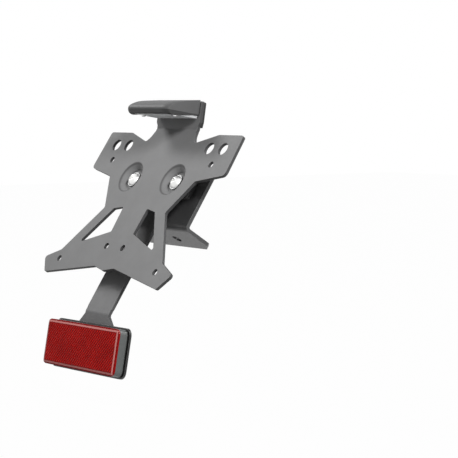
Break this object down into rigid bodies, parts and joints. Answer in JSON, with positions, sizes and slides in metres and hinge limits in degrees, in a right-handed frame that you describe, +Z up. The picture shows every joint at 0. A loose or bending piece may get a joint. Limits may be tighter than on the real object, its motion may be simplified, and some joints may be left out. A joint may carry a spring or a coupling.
{
  "type": "tail tidy",
  "caption": "Motorcycle tail tidy: a leaning cut sheet bracket for the number plate, with a plate lamp above, a red reflector hanging below and an adapter for the arm.",
  "frame": {"origin": "Middle of the two arm bolts on the face of the adapter's flange that the arm sits on.", "axes": "+X right seen from behind, -Y rear, +Z up, as mounted on an upright bike."},
  "size_m": [0.1874, 0.1093, 0.2144],
  "materials": {
    "plate_sheet": "Fine-textured satin coat over sheet metal",
    "zinc_screws": "Bright zinc",
    "spacer_aluminium": "Turned, bare",
    "strip_sheet": "Grey coat",
    "adapter_black": "Black coat, lighter on its cut edges",
    "black_rubber": "Matt rubber",
    "lamp_plastic": "Moulded dark grey",
    "clear_lens": "Clear moulded plastic",
    "board_green": "Coated circuit board",
    "led_white": "Pale yellow diode face",
    "base_plastic": "Smooth black",
    "housing_plastic": "Smooth grey",
    "red_lens": "Clear red over prisms"
  },
  "bodies": {
    "root": {"plate_bracket": "plate_sheet", "main_screws": "zinc_screws", "recess_spacers": "spacer_aluminium", "reflector_strip": "strip_sheet", "arm_adapter": "adapter_black", "main_washers": "zinc_screws", "main_nuts": "zinc_screws", "lamp_gasket": "black_rubber", "lamp_housing": "lamp_plastic", "lamp_lens": "clear_lens", "lamp_board": "board_green", "lamp_leds": "led_white", "lens_screws": "zinc_screws", "flap_backing": "black_rubber", "lamp_washers": "zinc_screws", "lamp_screws": "zinc_screws", "cable_grommet": "black_rubber", "reflector_base": "base_plastic", "reflector_seal": "black_rubber", "reflector_housing": "housing_plastic", "reflector_lens": "red_lens", "reflector_stud": "zinc_screws", "reflector_washer": "zinc_screws", "reflector_nut": "zinc_screws"}
  },
  "joints": []
}
